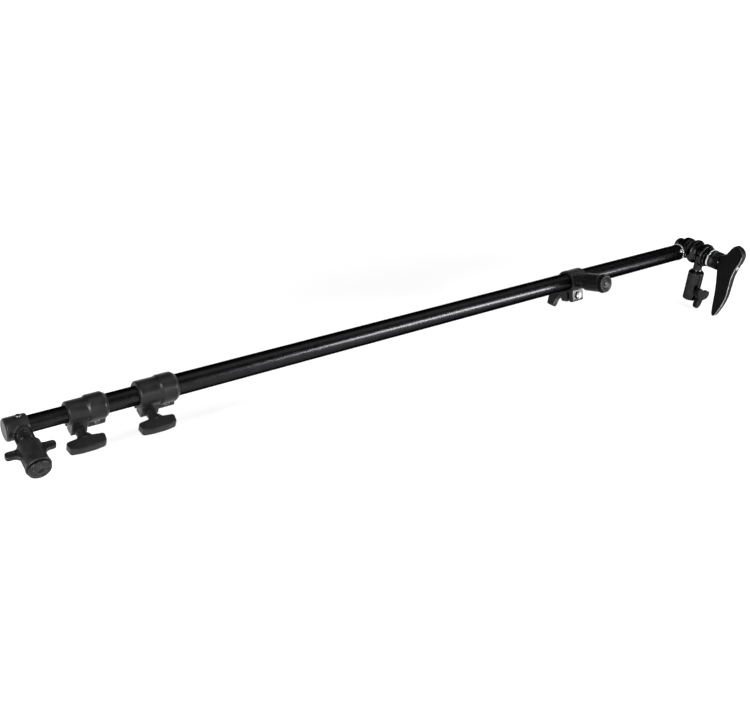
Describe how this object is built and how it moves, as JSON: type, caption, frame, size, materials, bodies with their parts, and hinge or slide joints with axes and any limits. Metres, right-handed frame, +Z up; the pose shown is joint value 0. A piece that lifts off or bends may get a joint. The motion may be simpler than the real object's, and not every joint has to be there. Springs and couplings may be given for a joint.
{
  "type": "reflector holder arm",
  "caption": "Telescopic reflector holder arm with a tilting stand socket, clamp lever, split collars and winged spring clips.",
  "frame": {"origin": "centre of the stand socket's mouth", "axes": "+Z up along the stand socket's bore, arm along X with its tilting head at X 0 and its far end towards -X, lever on the -Y side"},
  "size_m": [1.1507, 0.1343, 0.1252],
  "materials": {
    "tube": "gloss black",
    "moulding": "matte black",
    "lever": "matte black",
    "dark_metal": "satin black",
    "steel": "bright",
    "liner": "satin"
  },
  "bodies": {
    "socket_body": {"stand_socket": "dark_metal", "clamp_bolt": "steel", "far_nut": "dark_metal", "far_washer": "dark_metal", "bright_ring": "steel", "friction_disc": "liner", "pressure_ring": "dark_metal", "thrust_collar": "dark_metal", "steel_washer": "steel"},
    "socket_knob_body": {"socket_knob": "moulding", "socket_screw": "steel"},
    "lever_body": {"lever_hub": "lever", "lever_front_shell": "lever", "lever_rear_shell": "lever", "lever_screw": "steel"},
    "arm_body": {"arm_knuckle": "dark_metal", "main_tube": "tube", "tube_end_ring": "steel", "knuckle_rivet": "steel", "large_collar_body": "moulding", "large_collar_liner": "liner", "large_collar_nut": "steel", "large_collar_fixing_screw": "steel"},
    "large_knob_body": {"large_collar_knob": "moulding", "large_collar_bolt": "steel"},
    "middle_glide_body": {"middle_glide": "liner"},
    "middle_stage_body": {"middle_tube": "tube", "small_collar_body": "moulding", "small_collar_liner": "liner", "small_collar_nut": "steel", "small_collar_fixing_screw": "steel"},
    "small_knob_body": {"small_collar_knob": "moulding", "small_collar_bolt": "steel"},
    "inner_glide_body": {"inner_glide": "liner"},
    "inner_stage_body": {"inner_tube": "tube", "end_hub": "moulding", "hub_screw": "steel", "end_clip_cap": "moulding", "end_clip_cap_screw": "dark_metal", "end_clip_spring": "steel"},
    "end_sleeve_body": {"end_clip_sleeve": "moulding"},
    "slider_liner_body": {"slider_liner": "liner"},
    "slider_clip_body": {"slider_body": "moulding", "slider_post": "moulding", "slider_knob_ear": "moulding", "slider_nut_ear": "moulding", "slider_nut": "steel", "slider_clip_cap": "moulding", "slider_clip_cap_screw": "dark_metal", "slider_clip_spring": "steel"},
    "slider_knob_body": {"slider_knob": "moulding", "slider_bolt": "steel"},
    "slider_sleeve_body": {"slider_clip_sleeve": "moulding"}
  },
  "joints": [
    {"name": "arm_tilt", "type": "hinge", "parent": "socket_body", "child": "arm_body", "pos_m": [0, 0.022, 0.0795], "axis": [0, 1, 0], "range_deg": [-60, 100]},
    {"name": "lever_turn", "type": "hinge", "parent": "socket_body", "child": "lever_body", "pos_m": [0, -0.04, 0.0795], "axis": [0, 1, 0], "range_deg": [-90, 180]},
    {"name": "socket_knob_turn", "type": "hinge", "parent": "socket_body", "child": "socket_knob_body", "pos_m": [0, -0.018, 0.0095], "axis": [0, -1, 0], "range_deg": [-180, 180]},
    {"name": "large_knob_turn", "type": "hinge", "parent": "arm_body", "child": "large_knob_body", "pos_m": [-0.9612, 0.0266, 0.06345], "axis": [0, -0.9613, -0.2756], "range_deg": [-180, 180]},
    {"name": "middle_stage_slide", "type": "slide", "parent": "arm_body", "child": "middle_glide_body", "axis": [-1, 0, 0], "range_m": [-0.034, 0.72]},
    {"name": "middle_stage_turn", "type": "hinge", "parent": "middle_glide_body", "child": "middle_stage_body", "pos_m": [-0.3, 0.022, 0.0795], "axis": [1, 0, 0], "range_deg": [-180, 180]},
    {"name": "small_knob_turn", "type": "hinge", "parent": "middle_stage_body", "child": "small_knob_body", "pos_m": [-1.04345, 0.02617, 0.06496], "axis": [0, -0.9613, -0.2756], "range_deg": [-180, 180]},
    {"name": "inner_stage_slide", "type": "slide", "parent": "middle_stage_body", "child": "inner_glide_body", "axis": [-1, 0, 0], "range_m": [-0.013, 0.77]},
    {"name": "inner_stage_turn", "type": "hinge", "parent": "inner_glide_body", "child": "inner_stage_body", "pos_m": [-0.3, 0.022, 0.0795], "axis": [1, 0, 0], "range_deg": [-120, 120]},
    {"name": "end_sleeve_slide", "type": "slide", "parent": "inner_stage_body", "child": "end_sleeve_body", "axis": [0, 0.9613, 0.2756], "range_m": [0, 0.01], "stiffness_N_per_m": 600, "springref_m": -0.01},
    {"name": "slider_slide", "type": "slide", "parent": "arm_body", "child": "slider_liner_body", "axis": [-1, 0, 0], "range_m": [-0.18, 0.62]},
    {"name": "slider_turn", "type": "hinge", "parent": "slider_liner_body", "child": "slider_clip_body", "pos_m": [-0.2759, 0.022, 0.0795], "axis": [1, 0, 0], "range_deg": [-180, 180]},
    {"name": "slider_knob_turn", "type": "hinge", "parent": "slider_clip_body", "child": "slider_knob_body", "pos_m": [-0.2759, 0.01542, 0.05798], "axis": [0, 0.9563, -0.2924], "range_deg": [-180, 180]},
    {"name": "slider_sleeve_slide", "type": "slide", "parent": "slider_clip_body", "child": "slider_sleeve_body", "axis": [0, 0.9563, -0.2924], "range_m": [0, 0.01], "stiffness_N_per_m": 600, "springref_m": -0.01}
  ]
}
